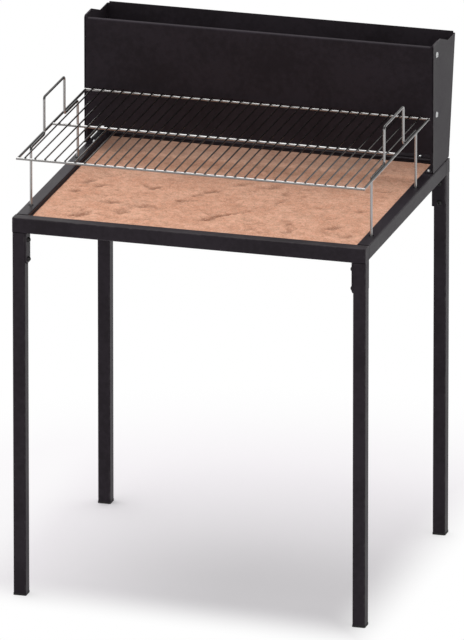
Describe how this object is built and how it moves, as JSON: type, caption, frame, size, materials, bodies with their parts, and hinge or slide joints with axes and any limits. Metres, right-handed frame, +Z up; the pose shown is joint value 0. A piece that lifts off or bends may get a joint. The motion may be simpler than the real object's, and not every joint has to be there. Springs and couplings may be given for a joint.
{
  "type": "wood-fired barbecue",
  "caption": "Free-standing wood-fired barbecue: tube frame on square legs, a bed of sand as hearth, folded-sheet fire box at the back with an ember gap, and a lift-out welded wire grill.",
  "frame": {"origin": "on the floor, under the middle of the overall box", "axes": "+X to the right as seen by the cook at the front, +Y to the back where the fire box stands, +Z up"},
  "size_m": [0.7048, 0.6366, 1.02],
  "materials": {
    "black_paint": "black heat-proof paint, satin",
    "foot_plastic": "black moulded plastic",
    "sand": "fine reddish sand, dry and matt",
    "black_screw": "black oxide steel",
    "zinc": "bright zinc plate",
    "chrome_wire": "bright chrome plate"
  },
  "bodies": {
    "stand": {"front_rail": "black_paint", "rear_rail": "black_paint", "left_rail": "black_paint", "right_rail": "black_paint", "rail_end_plates": "black_paint", "front_left_leg": "black_paint", "rear_left_leg": "black_paint", "front_right_leg": "black_paint", "rear_right_leg": "black_paint", "front_left_bracket": "black_paint", "rear_left_bracket": "black_paint", "front_right_bracket": "black_paint", "rear_right_bracket": "black_paint", "tray_pan": "black_paint", "fire_box_front": "black_paint", "fire_box_shell": "black_paint", "front_left_foot": "foot_plastic", "rear_left_foot": "foot_plastic", "front_right_foot": "foot_plastic", "rear_right_foot": "foot_plastic", "sand_bed": "sand", "leg_screws": "black_screw", "box_side_screws": "zinc", "box_side_nuts": "zinc", "box_foot_screws": "zinc", "box_rear_screws": "zinc", "leg_nuts": "zinc"},
    "grill": {"grill_front_wire": "chrome_wire", "grill_middle_wire": "chrome_wire", "grill_rear_wire": "chrome_wire", "grill_left_wire": "chrome_wire", "grill_right_wire": "chrome_wire", "grill_bars": "chrome_wire", "grill_left_leg_handle": "chrome_wire", "grill_right_leg_handle": "chrome_wire"}
  },
  "joints": [
    {"name": "grill_lift", "type": "slide", "parent": "stand", "child": "grill", "axis": [0, 0, 1], "range_m": [0, 0.15]}
  ]
}
